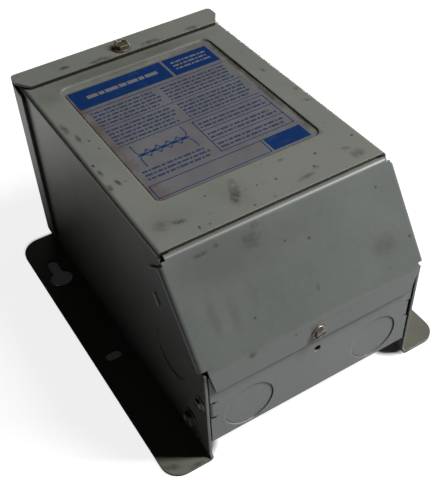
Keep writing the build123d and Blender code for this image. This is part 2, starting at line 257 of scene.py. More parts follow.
def enamel(name, body, settings, marks):
    """Baking enamel, sprayed on bent sheet steel and left semi-gloss.

    The eye gets a slow mottle, yellow dust on top, painted shade in corners and gaps, brown grime in the
    pressed recess, specks, scratches and smudges, raw brown cut edges, and steel where edges have worn
    through.

    The marks are spots of dirt (smudges torn at the edges, dots, and hazes, which are faint), with dots of
    painted shade in slits and a painted shadow under the cover's lip; dulls that have lost their gloss;
    painted highlights on the lit side of knockout rims and glints on their ties; lanced lips painted pale
    as a highlight;
    and a band painted paler from one height to another, painted light. The soil share is how dirty the
    specks are.
    """
    material, tree = new_material(name)
    place = node(tree, "TexCoord", out="Object")
    normal = node(tree, "NewGeometry", out="Normal")
    rounded = node(tree, "Bevel", {"Radius": settings.edge_round * MM}, samples=12)

    slow = node(tree, "TexNoise", {
        "Vector": place, "Scale": per(MOTTLE_WIDTH), "Detail": 3.0, "Roughness": 0.55,
    })
    fine = node(tree, "TexNoise", {
        "Vector": place, "Scale": per(GRAIN_WIDTH), "Detail": 5.0, "Roughness": 0.7,
    })
    tone = node(tree, "MapRange", {"Value": slow, 1: 0.25, 2: 0.75, 3: 0.93, 4: 1.07})
    grain = node(tree, "MapRange", {"Value": fine, 1: 0.25, 2: 0.75, 3: -0.06, 4: 0.06})
    tone = node(tree, "Math", {0: tone, 1: grain})
    paint = node(tree, "Mix", {0: 1.0, 6: colour(body), 7: tone}, **COLOUR_MIX, blend_type="MULTIPLY")

    # Dust that yellows what faces up
    upward = node(tree, "VectorMath", {0: normal, 1: (0, 0, 1)}, out="Value", operation="DOT_PRODUCT")
    dusty = node(tree, "MapRange", {"Value": upward, 1: 0.75, 2: 1.0})
    dusty = node(tree, "Math", {0: dusty, 1: slow}, operation="MULTIPLY")
    paint = node(tree, "Mix", {0: dusty, 6: paint, 7: colour(settings.dust)}, **COLOUR_MIX)

    # Brown silt on the flanges, which lie lowest
    height = node(tree, "SeparateXYZ", {0: place}, out="Z")
    start, full = SILT_HEIGHTS
    settled = node(tree, "MapRange", {"Value": height, 1: start * MM, 2: full * MM, 3: 0.0, 4: 1.1})
    settled = node(tree, "Math", {0: settled, 1: dusty}, operation="MULTIPLY")
    paint = node(tree, "Mix", {0: settled, 6: paint, 7: colour(settings.silt)}, **COLOUR_MIX)

    # A band painted paler in the tray's colour: painted light on the cover's lip
    if "painted_light_band" in marks:
        start, full, share = marks["painted_light_band"]
        pale = node(tree, "MapRange", {"Value": height, 1: start * MM, 2: full * MM, 3: 0.0, 4: share})
        paint = node(tree, "Mix", {0: pale, 6: paint, 7: colour(settings.tray)}, **COLOUR_MIX)

    # Painted shade in corners and gaps, from ambient occlusion and broken up by noise, black where a gap is
    # deep
    open_share = node(tree, "AmbientOcclusion", {"Distance": CORNER_SHADE_REACH * MM}, out="AO", samples=8)
    corner = node(tree, "MapRange", {"Value": open_share, 1: 0.8, 2: 0.35})
    broken = node(tree, "MapRange", {"Value": fine, 1: 0.3, 2: 0.6, 3: 0.35, 4: 1.0})
    corner = node(tree, "Math", {0: corner, 1: broken}, operation="MULTIPLY")
    deep = node(tree, "MapRange", {"Value": open_share, 1: 0.5, 2: 0.25})
    corner = node(tree, "Math", {0: corner, 1: deep}, operation="MAXIMUM")

    # Soil that has settled in the recess, most on its right side and at its far end
    side, near, far = settings.recess_margins
    recess_low = PLATE_LOW - Vector((side, near, 1)) * MM
    recess_high = PLATE_HIGH + Vector((side, far, 1)) * MM
    inward = box_reach(tree, place, recess_low, recess_high)
    start, full = RECESS_EDGE
    recessed = node(tree, "MapRange", {"Value": inward, 1: start * MM, 2: full * MM})
    streak = node(tree, "TexNoise", {
        "Vector": place, "Scale": per(STREAK_WIDTH), "Detail": 5.0, "Roughness": 0.6,
    })
    streak = node(tree, "MapRange", {"Value": streak, 1: 0.36, 2: 0.66, 3: 0.15, 4: 0.8})
    across = node(tree, "SeparateXYZ", {0: place}, out="X")
    start, full = SOIL_ACROSS
    right = node(tree, "MapRange", {"Value": across, 1: start * MM, 2: full * MM, 3: 0.2, 4: 1.0})
    along = node(tree, "SeparateXYZ", {0: place}, out="Y")
    start, full = SOIL_ALONG
    far_end = node(tree, "MapRange", {"Value": along, 1: start * MM, 2: full * MM, 3: 0.0, 4: 0.6})
    soiled = node(tree, "Math", {0: right, 1: far_end}, operation="MAXIMUM")
    streak = node(tree, "Math", {0: streak, 1: soiled}, operation="MULTIPLY")
    rim = node(tree, "Math", {0: recessed, 1: streak}, operation="MULTIPLY")

    # Specks and smudges where hands and tools have been
    cloud = node(tree, "TexNoise", {"Vector": place, "Scale": per(CLOUD_WIDTH), "Detail": 2.0})
    cloud = node(tree, "MapRange", {"Value": cloud, 1: 0.4, 2: 0.6, 3: 0.15, 4: marks["soil_share"]})
    specks = speck_mask(tree, place, *SPECKS)
    blots = speck_mask(tree, place, *BLOTS)
    specks = node(tree, "Math", {0: specks, 1: blots}, operation="MAXIMUM")
    specks = node(tree, "Math", {0: specks, 1: cloud}, operation="MULTIPLY")
    # The soil mask carries dirt specks, the painted shade in corners and the soil in the recess
    soil = specks
    for more in (corner, rim):
        soil = node(tree, "Math", {0: soil, 1: more}, operation="MAXIMUM")
    # Faint hazes of dirt, and on the tray a painted shadow under the cover's lip, in the smudge colour
    patchy = node(tree, "MapRange", {"Value": slow, 1: 0.35, 2: 0.6, 3: 0.5, 4: 1.0})
    haze_and_shadow = spot_mask(tree, place, marks["hazes_and_shadows"])
    haze_and_shadow = node(tree, "Math", {0: haze_and_shadow, 1: patchy}, operation="MULTIPLY")
    paint = node(tree, "Mix", {0: haze_and_shadow, 6: paint, 7: colour(settings.smudge_and_shadow)}, **COLOUR_MIX)
    if "smudges" in marks:
        torn = node(tree, "TexNoise", {
            "Vector": place, "Scale": per(TEAR_WIDTH), "Detail": 6.0, "Roughness": 0.75,
        })
        torn = node(tree, "MapRange", {"Value": torn, 1: 0.36, 2: 0.56})
        smear = spot_mask(tree, place, marks["smudges"])
        smear = node(tree, "Math", {0: smear, 1: torn}, operation="MULTIPLY")
        paint = node(tree, "Mix", {0: smear, 6: paint, 7: colour(settings.smudge_and_shadow)}, **COLOUR_MIX)
    # Dots: dirt specks, and on the tray painted shade in the slits; they take the grime colour with the
    # rest of the soil
    dots_and_slit_shade = spot_mask(tree, place, marks["dots_and_slit_shade"])
    soil = node(tree, "Math", {0: soil, 1: dots_and_slit_shade}, operation="MAXIMUM")
    paint = node(tree, "Mix", {0: soil, 6: paint, 7: colour(settings.grime_and_shade)}, **COLOUR_MIX)

    # Painted highlights on the lit side of the knockouts' rims, and painted glints on their ties
    if "lit_rims" in marks:
        lit_rim = lit_rim_mask(tree, place, marks["lit_rims"], settings.knockout_radius, settings.rim_highlight_width)
        ties = spot_mask(tree, place, marks["ties"])
        lit_rim = node(tree, "Math", {0: lit_rim, 1: ties}, operation="MAXIMUM")
        paint = node(tree, "Mix", {0: lit_rim, 6: paint, 7: colour(settings.rim_highlight)}, **COLOUR_MIX)

    # Fine scratches, drawn wider than real ones so that they show
    dragged = node(tree, "Mapping", {
        "Vector": place,
        "Rotation": (0, 0, SCRATCH_TURN),
        "Scale": (1, SCRATCH_SHARE, 1),
    })
    scratch = node(tree, "TexNoise", {"Vector": dragged, "Scale": per(SCRATCH_WIDTH), "Detail": 2.0})
    scratch = node(tree, "MapRange", {"Value": scratch, 1: 0.68, 2: 0.76, 3: 0.0, 4: 0.3})
    scratch = node(tree, "Math", {0: scratch, 1: cloud}, operation="MULTIPLY")
    paint = node(tree, "Mix", {0: scratch, 6: paint, 7: colour(settings.scuff)}, **COLOUR_MIX)

    # Sheared edges of the front sheets, which face the wiring end and have gone brown
    facing = node(tree, "VectorMath", {0: normal, 1: (0, -1, 0)}, out="Value", operation="DOT_PRODUCT")
    facing = node(tree, "MapRange", {"Value": facing, 1: 0.94, 2: 0.98})
    start = settings.cut_height
    upper = node(tree, "MapRange", {"Value": height, 1: start * MM, 2: (start + 1) * MM})
    sheared = node(tree, "Math", {0: facing, 1: upper}, operation="MULTIPLY")
    paint = node(tree, "Mix", {0: sheared, 6: paint, 7: colour(settings.cut)}, **COLOUR_MIX)

    # Steel that shows at worn edges, and pale paint on each lanced lip, a painted highlight
    turned = node(tree, "VectorMath", {0: rounded, 1: normal}, out="Value", operation="DOT_PRODUCT")
    worn = node(tree, "MapRange", {"Value": turned, 1: 0.95, 2: 0.8})
    patches = node(tree, "TexNoise", {
        "Vector": place, "Scale": per(WEAR_WIDTH), "Detail": 5.0, "Roughness": 0.7,
    })
    patches = node(tree, "MapRange", {"Value": patches, 1: 0.58, 2: 0.72, 3: 0.0, 4: 0.12})
    worn = node(tree, "Math", {0: worn, 1: patches}, operation="MULTIPLY")
    for side, lit_share in marks.get("lit_lances", ()):
        middle = Vector((side * settings.lance_place[0], *settings.lance_place[1:])) * MM
        reach = Vector(settings.lance_reach) * MM
        inside = box_reach(tree, place, middle - reach, middle + reach)
        inside = node(tree, "MapRange", {
            "Value": inside, 1: LANCE_HIGHLIGHT_EDGE * MM, 2: -LANCE_HIGHLIGHT_EDGE * MM, 3: 0.0, 4: lit_share,
        })
        paint = node(tree, "Mix", {0: inside, 6: paint, 7: colour(settings.primer)}, **COLOUR_MIX)
    paint = node(tree, "Mix", {0: worn, 6: paint, 7: colour(settings.steel)}, **COLOUR_MIX)

    # Less gloss on soil, in the recess and along the dulled bends
    rough = node(tree, "Math", {0: slow, 1: 0.14, 2: settings.gloss_loss}, operation="MULTIPLY_ADD")
    rough = node(tree, "Math", {0: soil, 1: 0.25, 2: rough}, operation="MULTIPLY_ADD")
    dulled = spot_mask(tree, place, marks["dulls"])
    dulled = node(tree, "Math", {0: recessed, 1: dulled}, operation="MAXIMUM")
    rough = node(tree, "Math", {0: dulled, 1: 0.3, 2: rough}, operation="MULTIPLY_ADD")

    # The fine peel of sprayed paint, over slow waves in the sheet
    peel = node(tree, "TexNoise", {"Vector": place, "Scale": per(PEEL_WIDTH), "Detail": 2.0})
    wave = node(tree, "TexNoise", {"Vector": place, "Scale": per(WAVE_WIDTH), "Detail": 1.0})
    relief = node(tree, "Math", {0: peel, 1: 0.02, 2: wave}, operation="MULTIPLY_ADD")
    bumped = node(tree, "Bump", {
        "Height": relief, "Normal": rounded, "Strength": 0.5, "Distance": WAVE_DEPTH * MM,
    })

    shader = node(tree, "BsdfPrincipled", {
        "Base Color": paint,
        "Metallic": worn,
        "Roughness": rough,
        "IOR": ENAMEL_IOR,
        "Normal": bumped,
    })
    finish_material(tree, shader)
    return material


# Grains of filler in the compound: width and relief in mm
SILICA_WIDTH = 0.9
SILICA_DEPTH = 0.2
EPOXY_IOR = 1.55


def potting_compound(settings):
    """Cast epoxy with silica filler: near black, matte, with pale grains."""
    material, tree = new_material("cast_potting_compound")
    place = node(tree, "TexCoord", out="Object")
    grain = node(tree, "TexNoise", {"Vector": place, "Scale": per(SILICA_WIDTH), "Detail": 4.0})
    grain = node(tree, "MapRange", {"Value": grain, 1: 0.5, 2: 0.75, 3: 0.0, 4: 0.5})
    mixed = node(tree, "Mix", {
        0: grain,
        6: colour(settings.compound),
        7: colour(settings.silica),
    }, **COLOUR_MIX)
    bumped = node(tree, "Bump", {"Height": grain, "Strength": 0.4, "Distance": SILICA_DEPTH * MM})
    shader = node(tree, "BsdfPrincipled", {
        "Base Color": mixed,
        "Roughness": 0.75,
        "IOR": EPOXY_IOR,
        "Normal": bumped,
    })
    finish_material(tree, shader)
    return material


# The plate's clouding, its grain and the grain's relief, and the reach of its brown edge, in mm, and its
# specks, written as the enamel's are
CLOUDING_WIDTH = 12
LACQUER_WIDTH = 0.8
LACQUER_DEPTH = 0.03
BROWN_REACH = 6
PLATE_SPECKS = (0.9, 3.0, 0.4)


def plate_lacquer(settings, left):
    """Aluminium plate under matte lacquer: grey, dusty, browned in patches along its left edge."""
    material, tree = new_material("lacquered_aluminium")
    place = node(tree, "TexCoord", out="Object")
    cloud = node(tree, "TexNoise", {
        "Vector": place, "Scale": per(CLOUDING_WIDTH), "Detail": 5.0, "Roughness": 0.6,
    })
    dull = node(tree, "MapRange", {"Value": cloud, 1: 0.35, 2: 0.65, 3: 0.0, 4: 0.7})
    ground = node(tree, "Mix", {
        0: dull,
        6: colour(settings.ground),
        7: colour(settings.aged_ground),
    }, **COLOUR_MIX)
    across = node(tree, "SeparateXYZ", {0: place}, out="X")
    edge = node(tree, "MapRange", {"Value": across, 1: left + BROWN_REACH * MM, 2: left})
    patch = node(tree, "MapRange", {"Value": cloud, 1: 0.4, 2: 0.58})
    edge = node(tree, "Math", {0: edge, 1: patch}, operation="MULTIPLY")
    edge = node(tree, "Math", {0: edge, 1: 0.7}, operation="MULTIPLY")
    ground = node(tree, "Mix", {0: edge, 6: ground, 7: colour(settings.browning)}, **COLOUR_MIX)
    specks = speck_mask(tree, place, *PLATE_SPECKS)
    ground = node(tree, "Mix", {0: specks, 6: ground, 7: colour(settings.soil)}, **COLOUR_MIX)
    rough = node(tree, "MapRange", {"Value": cloud, 1: 0.35, 2: 0.65, 3: 0.42, 4: 0.6})
    grain = node(tree, "TexNoise", {"Vector": place, "Scale": per(LACQUER_WIDTH), "Detail": 3.0})
    bumped = node(tree, "Bump", {"Height": grain, "Strength": 0.2, "Distance": LACQUER_DEPTH * MM})
    shader = node(tree, "BsdfPrincipled", {
        "Base Color": ground,
        "Metallic": 0.1,
        "Roughness": rough,
        "Normal": bumped,
    })
    finish_material(tree, shader)
    return material


# Width of the patches where the ink has rubbed thin, in mm
RUB_WIDTH = 5


def plate_ink(name, body, settings):
    """Screen-printed ink: flat, and rubbed thin in places so that the plate shows through."""
    material, tree = new_material(name)
    place = node(tree, "TexCoord", out="Object")
    rub = node(tree, "TexNoise", {
        "Vector": place, "Scale": per(RUB_WIDTH), "Detail": 6.0, "Roughness": 0.7,
    })
    rub = node(tree, "MapRange", {"Value": rub, 1: 0.55, 2: 0.9, 3: 0.0, 4: 0.35})
    ink = node(tree, "Mix", {0: rub, 6: colour(body), 7: colour(settings.aged_ground)}, **COLOUR_MIX)
    rough = node(tree, "MapRange", {"Value": rub, 1: 0.0, 2: 0.5, 3: 0.4, 4: 0.6})
    shader = node(tree, "BsdfPrincipled", {"Base Color": ink, "Roughness": rough})
    finish_material(tree, shader)
    return material


# Patches in the zinc: width and relief in mm
PATCH_WIDTH = 1.6
PATCH_DEPTH = 0.05


def zinc(name, body, tarnish, metal_share, settings):
    """Zinc plate on a cold-headed steel screw: grey metal, dulled and browned in patches."""
    material, tree = new_material(name)
    place = node(tree, "TexCoord", out="Object")
    patch = node(tree, "TexNoise", {
        "Vector": place, "Scale": per(PATCH_WIDTH), "Detail": 5.0, "Roughness": 0.65,
    })
    patch = node(tree, "MapRange", {"Value": patch, 1: 0.38, 2: 0.66})
    plated = node(tree, "Mix", {0: patch, 6: colour(body), 7: colour(tarnish)}, **COLOUR_MIX)
    rough = node(tree, "Math", {0: patch, 1: 0.25, 2: settings.zinc_roughness}, operation="MULTIPLY_ADD")
    bumped = node(tree, "Bump", {"Height": patch, "Strength": 0.3, "Distance": PATCH_DEPTH * MM})
    shader = node(tree, "BsdfPrincipled", {
        "Base Color": plated,
        "Metallic": metal_share,
        "Roughness": rough,
        "Normal": bumped,
    })
    finish_material(tree, shader)
    return material


# What the object covers of the floor, in mm: left, near, right, far, and the rounding of the corners
FOOTPRINTS = (
    (-46.0, -70.0, 46.0, 81.6, 0.0),
    (-68.8, -80.0, -42.0, 81.6, 10.0),
    (38.0, -80.0, 68.8, 81.6, 10.0),
)
# Half the height of the box that stands for a footprint, and how far in the floor's glow is gone, a painted
# shadow under the object, in mm
FOOTPRINT_HEIGHT = 100
UNDER_EDGE = 3


def floor_material(settings):
    """Matte pale paper that the camera sees as near white, with the object's shadow on it.

    Under the object its white glow is taken away, a painted shadow that keeps holes and gaps dark.
    Reflections see it fade darker near the object, a painted shadow in them, and past the paper's end they
    see none of it.
    """
    material, tree = new_material("matte_paper_floor")
    place = node(tree, "TexCoord", out="Object")
    away = None
    for left, near, right, far, corner in FOOTPRINTS:
        low = Vector((left, near, -FOOTPRINT_HEIGHT)) * MM
        high = Vector((right, far, FOOTPRINT_HEIGHT)) * MM
        reach = box_reach(tree, place, low, high, corner * MM)
        away = reach if away is None else node(tree, "Math", {0: away, 1: reach}, operation="MINIMUM")
    # Under the object the glow drops to the under glow: a painted shadow
    seen = node(tree, "MapRange", {
        "Value": away, 1: -UNDER_EDGE * MM, 2: 0.0, 3: settings.under_glow, 4: 1.0,
    })
    direct = node(tree, "LightPath", out="Is Camera Ray")
    seen = node(tree, "Math", {0: seen, 1: direct}, operation="MULTIPLY")
    # In reflections the glow fades in away from the object: a painted shadow near it
    mirrored = node(tree, "MapRange", {"Value": away, 1: 0.0, 2: settings.reflected_shadow_reach})
    end = settings.paper_reach
    ended = node(tree, "MapRange", {"Value": away, 1: end, 2: 2 * end, 3: 1.0, 4: 0.0})
    mirrored = node(tree, "Math", {0: mirrored, 1: ended}, operation="MULTIPLY")
    glossy = node(tree, "LightPath", out="Is Glossy Ray")
    through = node(tree, "LightPath", out="Is Transmission Ray")
    glossy = node(tree, "Math", {0: glossy, 1: through}, operation="MAXIMUM")
    mirrored = node(tree, "Math", {0: mirrored, 1: glossy}, operation="MULTIPLY")
    seen = node(tree, "Math", {0: seen, 1: mirrored}, operation="MAXIMUM")
    strength = node(tree, "Math", {0: seen, 1: settings.floor_glow}, operation="MULTIPLY")
    glow = node(tree, "Emission", {"Color": (1, 1, 1, 1), "Strength": strength})
    paper = node(tree, "BsdfDiffuse", {"Color": colour(settings.floor)})
    finish_material(tree, node(tree, "AddShader", {0: paper, 1: glow}))
    return material


# Settings that a user would change


def tint(label, text, hex_colour):
    """A colour."""
    return FloatVectorProperty(
        name=label, description=text, subtype="COLOR", size=3, min=0, max=1, default=linear(hex_colour),
    )


def length(label, text, size_mm):
    """A size of the object, in mm."""
    return FloatProperty(name=label, description=text + ", in mm", default=size_mm, min=0, max=100)


def fraction(label, text, value):
    """A number from 0 to 1."""
    return FloatProperty(name=label, description=text, default=value, min=0, max=1)


def metres(label, text, size):
    """A size of the studio, in metres."""
    return FloatProperty(name=label, description=text, default=size, min=0, unit="LENGTH")


def degrees(label, text, turn):
    """A turn, kept in radians."""
    return FloatProperty(name=label, description=text, default=math.radians(turn), unit="ROTATION")


def watts(label, text, strength):
    """The power of a lamp."""
    return FloatProperty(name=label, description=text, default=strength, min=0, unit="POWER")


class EnamelSettings(bpy.types.PropertyGroup):
    """The painted sheet metal."""
    case: tint("Case enamel", "Enamel of the case", "#70746E")
    cover: tint("Cover enamel", "Enamel of the wiring cover", "#656966")
    tray: tint("Tray enamel", "Enamel of the back tray", "#7D807F")
    dust: tint("Dust", "Dust that settles on what faces up", "#76776F")
    # Dark colour for dirt specks and for painted shade in corners and slits
    grime_and_shade: tint("Grime", "Dirt in corners and specks", "#241F19")
    # Colour of smudges and hazes, and of the painted shadow under the cover's lip
    smudge_and_shadow: tint("Smudge", "Greasy smudges and haze", "#352E27")
    silt: tint("Silt", "Brown dust on what lies near the wall", "#58554A")
    scuff: tint("Scuff", "Paint scuffed pale", "#8C8B84")
    # Colour of the painted highlights on knockout rims and their ties
    rim_highlight: tint("Chip", "Paint chipped round a knockout", "#979A9A")
    cut: tint("Cut edge", "Sheared edge of the sheet", "#2E2920")
    steel: tint("Steel", "Bare steel at a worn edge", "#B4B3AF")
    # Pale paint on a lanced lip, a painted highlight
    primer: tint("Primer", "Pale primer where paint has cracked off a lanced lip", "#CFCEC8")
    edge_round: length("Edge round", "Radius of a painted edge", 0.5)
    cut_height: length("Cut height", "Height above which sheared edges are brown", 86.0)
    recess_margins: FloatVectorProperty(
        name="Recess margins", description="Recess beside the plate, in mm: sides, near end, far end",
        size=3, min=0, default=(3.4, 2.8, 4.4),
    )
    lance_place: FloatVectorProperty(
        name="Lance", description="Middle of a lanced lip from the case's middle, in mm", size=3,
        default=(51.6, -49.4, 68.6),
    )
    # Half size of the painted highlight at a lanced lip
    lance_reach: FloatVectorProperty(
        name="Lance reach", description="Half size of the primer at a lanced lip, in mm", size=3,
        default=(1.5, 6.0, 6.0),
    )
    knockout_radius: length("Knockout radius", "Radius of a knockout's hole", 11.2)
    # Half width of the painted highlight round a knockout
    rim_highlight_width: length("Knockout rim", "Half width of the chipped rim round a knockout", 0.22)
    gloss_loss: fraction("Roughness", "Roughness of clean enamel", 0.22)


class PottingSettings(bpy.types.PropertyGroup):
    """The cast core block."""
    compound: tint("Compound", "Cast compound", "#23211E")
    silica: tint("Silica", "Filler grains", "#5A564E")


class PlateSettings(bpy.types.PropertyGroup):
    """The rating plate and its printing."""
    ground: tint("Ground", "Lacquered plate", "#6B6A6C")
    aged_ground: tint("Aged ground", "Dulled lacquer", "#575456")
    browning: tint("Browning", "Stain along one edge", "#5C4634")
    soil: tint("Soil", "Specks of dirt", "#3C372F")
    ink: tint("Ink", "Printed blue", "#092B5C")
    fine_ink: tint("Fine ink", "Blue of the fine rows", "#2E3B58")
    left_reach: length("Left reach", "How far the plate reaches left of the solid's edge", 2.2)
    near_reach: length("Near reach", "How far the plate reaches past the solid's near edge", 1.9)
    corner: length("Corner", "Rounding of the plate's corners", 2.0)
    ink_height: length("Ink height", "Thickness of the print", 0.03)
    line_width: length("Line", "Width of a printed line", 0.4)
    row_height: length("Row", "Height of a printed row", 1.15)
    row_pitch: length("Row pitch", "From one printed row to the next", 2.45)
    word_gap: length("Bar gap", "Space between two bars of a row", 0.6)


class ScrewSettings(bpy.types.PropertyGroup):
    """The hexagon washer-head screws."""
    bright: tint("Bright zinc", "New zinc plate", "#A39F95")
    bright_tarnish: tint("Dulled zinc", "Zinc plate that has dulled", "#5C574D")
    aged: tint("Aged zinc", "Yellowed zinc plate", "#696150")
    aged_tarnish: tint("Tarnish", "Brown tarnish", "#463F33")
    zinc_roughness: fraction("Roughness", "Roughness of clean zinc plate", 0.3)
    washer_radius: length("Washer radius", "Radius of the pressed washer", 4.3)
    washer_thickness: length("Washer", "Thickness of the pressed washer", 0.8)
    flats: length("Flats", "Hexagon across its flats", 6.35)
    hexagon_height: length("Hexagon", "Height of the hexagon above its washer", 1.8)
    crown: length("Rounded top", "Rounding at the top of the hexagon", 0.4)
    dish: length("Dished top", "Depth of the dished top", 0.35)
    slot_width: length("Slot width", "Width of the driver slot", 1.2)
    slot_depth: length("Slot depth", "Depth of the driver slot", 1.0)
    shank_radius: length("Shank radius", "Radius of the shank", 2.0)
    shank_length: length("Shank", "Length of the shank", 8.0)


class StageSettings(bpy.types.PropertyGroup):
    """The studio."""
    camera_place: FloatVectorProperty(
        name="Camera", description="Place of the camera", subtype="TRANSLATION", unit="LENGTH",
        default=(-0.12978, -0.231435, 0.28676),
    )
    camera_turn: FloatVectorProperty(
        name="Camera turn", description="Turn of the camera", subtype="EULER", unit="ROTATION",
        default=[math.radians(a) for a in (44.142, 3.046, -30.663)],
    )
    key_strength: watts("Key", "Power of the key lamp", 19.2)
    key_bearing: degrees("Key bearing", "Bearing of the key lamp from +X", -34)
    key_height: degrees("Key height", "Height of the key lamp", 48)
    key_distance: metres("Key distance", "Distance of the key lamp", 1.2)
    key_width: metres("Key width", "Width of the key lamp", 0.16)
    key_tall: metres("Key length", "Length of the key lamp", 0.8)
    back_strength: watts("Back lamp", "Power of the lamp that lights the capped end", 4.0)
    back_bearing: degrees("Back bearing", "Bearing of the back lamp from +X", 58)
    back_height: degrees("Back height", "Height of the back lamp", 3)
    room: fraction("Room", "Light from all round", 0.012)
    floor: tint("Floor", "Pale floor", "#A2A2A0")
    floor_glow: fraction("Floor glow", "White that is seen on the floor", 0.85)
    under_glow: fraction("Under glow", "Share of the floor's white that shows under the object", 0.009)
    # How far the painted shadow near the object reaches in reflections
    reflected_shadow_reach: metres("Dark reach", "How far the object darkens the floor in reflections", 0.172)
    paper_reach: metres("Paper reach", "Where the paper starts to fade in reflections", 0.10)


class TransformerLooks(bpy.types.PropertyGroup):
    """All the settings."""
    enamel: PointerProperty(type=EnamelSettings)
    potting: PointerProperty(type=PottingSettings)
    plate: PointerProperty(type=PlateSettings)
    screws: PointerProperty(type=ScrewSettings)
    stage: PointerProperty(type=StageSettings)


# Sheet metal

# Marks of wear and of painted light. A spot is a centre and radii in mm, a turn about the vertical in
# degrees, and a strength. A rim, painted lighter on its lit side, has a centre and a strength, a lance,
# painted pale as a highlight, a side and a strength, and a band painted paler as light the heights where it
# begins and is full, in mm, and a strength.
CASE_MARKS = {
    "smudges": (
        ((-10.4, -38.2, 93), (3.0, 10.0, 3), -22, 0.6),
        ((-12.2, -41.6, 93), (2.8, 5.6, 3), -22, 0.9),
        ((-41.5, -39.6, 93), (5.0, 4.0, 3), 0, 0.4),
        ((-36.0, -40.8, 93), (4.4, 2.0, 3), -14, 0.8),
        ((-47.0, -0.5, 93), (1.3, 3.4, 3), 0, 1.0),
        ((-47.6, -10.4, 93), (1.4, 3.0, 3), 0, 1.0),
        ((-43.8, -9.4, 93), (1.2, 3.2, 3), 10, 0.9),
        ((-46.7, 33.7, 93), (2.0, 6.0, 3), 0, 0.7),
        ((-44.7, 24.0, 93), (1.4, 5.0, 3), 0, 0.7),
        ((40.6, -45.6, 93), (4.4, 4.0, 3), 20, 0.5),
        ((38.9, -40.6, 93), (3.4, 1.4, 3), -20, 0.4),
        ((16.3, -46.0, 93), (6.0, 1.6, 3), 8, 0.5),
        ((22.4, -43.6, 93), (2.6, 1.4, 3), 0, 0.35),
        ((13.8, -32.6, 93), (2.8, 1.4, 3), -10, 0.5),
        ((35.6, 3.0, 93), (1.4, 6.0, 3), 0, 0.8),
        ((45.9, -6.0, 93), (3.0, 1.1, 3), -30, 0.5),
        ((46.6, 3.4, 93), (2.4, 1.6, 3), 0, 0.45),
        ((43.5, 23.1, 93), (1.4, 3.4, 3), 0, 0.4),
        ((36.6, 38.0, 92), (1.2, 22.0, 2), 0, 0.9),
        ((35.6, 8.0, 92), (1.6, 20.0, 2), 0, 0.7),
        ((36.6, -14.0, 92), (1.0, 9.0, 2), 0, 0.8),
        ((-28.6, 73.4, 94.6), (4.0, 2.0, 3), 0, 0.8),
        ((13.2, 70.3, 94.6), (7.0, 2.6, 3), 0, 0.7),
        ((-12.5, 69.9, 94.6), (8.0, 2.4, 3), 0, 0.7),
        ((34.4, 70.3, 94.6), (5.0, 2.0, 3), 0, 0.7),
        ((-66.0, -74.0, 1.3), (6.0, 2.4, 3), -30, 0.8),
        ((-56.0, -79.0, 1.3), (5.0, 1.6, 3), 0, 0.8),
    ),
    "dots_and_slit_shade": (
        ((27.1, -36.6, 93), (1.0, 0.8, 2), 0, 0.9),
        ((22.2, -42.6, 93), (0.8, 0.7, 2), 0, 0.9),
        ((6.1, -40.8, 93), (0.7, 0.9, 2), 0, 0.9),
        ((45.7, -35.4, 93), (0.9, 0.9, 2), 0, 0.9),
        ((-1.6, -39.8, 93), (0.6, 0.6, 2), 0, 0.9),
        ((-20.7, -34.2, 93), (0.8, 0.6, 2), 0, 0.9),
        ((-47.3, 5.1, 93), (0.8, 1.6, 2), 0, 0.9),
        ((-31.0, -47.6, 93), (0.7, 1.4, 2), 0, 0.8),
        ((-8.3, -48.6, 93), (0.8, 0.6, 2), 0, 0.8),
    ),
    "hazes_and_shadows": (
        ((-4.0, 64.5, 93), (60.0, 7.0, 4), 0, 0.5),
        ((-43.0, 60.0, 93), (9.0, 12.0, 3), 0, 0.3),
        ((0, 61.0, 93), (48.0, 1.5, 2), 0, 0.6),
        ((36.4, 34.0, 92.4), (2.0, 30.0, 2), 0, 0.65),
        ((-12.0, -38.0, 93), (9.0, 16.0, 3), 14, 0.18),
        ((-40.0, -38.0, 93), (16.0, 9.0, 3), 0, 0.15),
    ),
    "dulls": (((0, -50.9, 93), (80, 1.6, 1.6), 0, 0.7),),
    # Lanced lips painted pale, a painted highlight
    "lit_lances": ((-1, 1.0), (1, 1.0)),
    "soil_share": 0.8,
}
